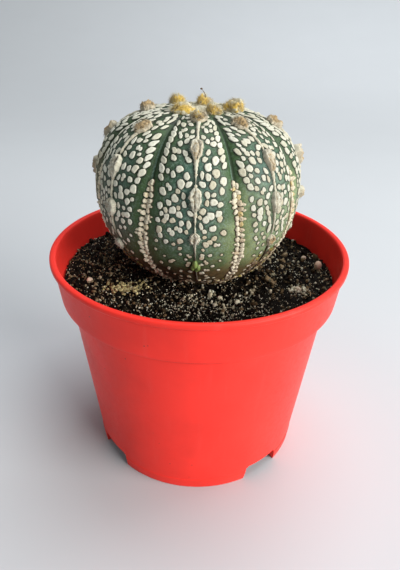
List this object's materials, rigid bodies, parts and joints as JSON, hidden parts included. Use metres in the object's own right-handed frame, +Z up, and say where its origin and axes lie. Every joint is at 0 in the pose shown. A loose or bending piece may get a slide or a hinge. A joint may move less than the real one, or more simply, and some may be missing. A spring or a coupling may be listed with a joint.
{
  "type": "potted star cactus",
  "caption": "Round ribbed star cactus with white flecks, woolly areoles and a yellow woolly crown, growing in dark gritty soil in a tapered red nursery pot with a rim band and foot notches.",
  "frame": {"origin": "centre of the pot's foot, on the surface that the pot stands on", "axes": "+Z up along the pot's axis; -Y is the front of the plant, +X its right as seen from the front"},
  "size_m": [0.085, 0.085, 0.1063],
  "materials": {
    "pot_plastic": "satin red moulded plastic",
    "soil": "dark gritty potting mix",
    "cactus_skin": "matt blue-green skin with raised cream flecks",
    "crown_wool": "yellow wool",
    "areole_wool": "greyish cream wool",
    "cork": "tan corky flecks"
  },
  "bodies": {
    "root": {"pot": "pot_plastic", "soil": "soil", "cactus_body": "cactus_skin", "crown_wool": "crown_wool", "areole_line_1": "areole_wool", "areole_line_2": "areole_wool", "areole_line_3": "areole_wool", "areole_line_4": "areole_wool", "areole_line_5": "areole_wool", "areole_line_6": "areole_wool", "areole_line_7": "areole_wool", "areole_line_8": "areole_wool", "cork_row_1": "cork", "cork_row_2": "cork", "cork_row_3": "cork", "cork_row_4": "cork", "cork_row_5": "cork", "cork_row_6": "cork", "cork_row_7": "cork", "cork_row_8": "cork"}
  },
  "joints": []
}
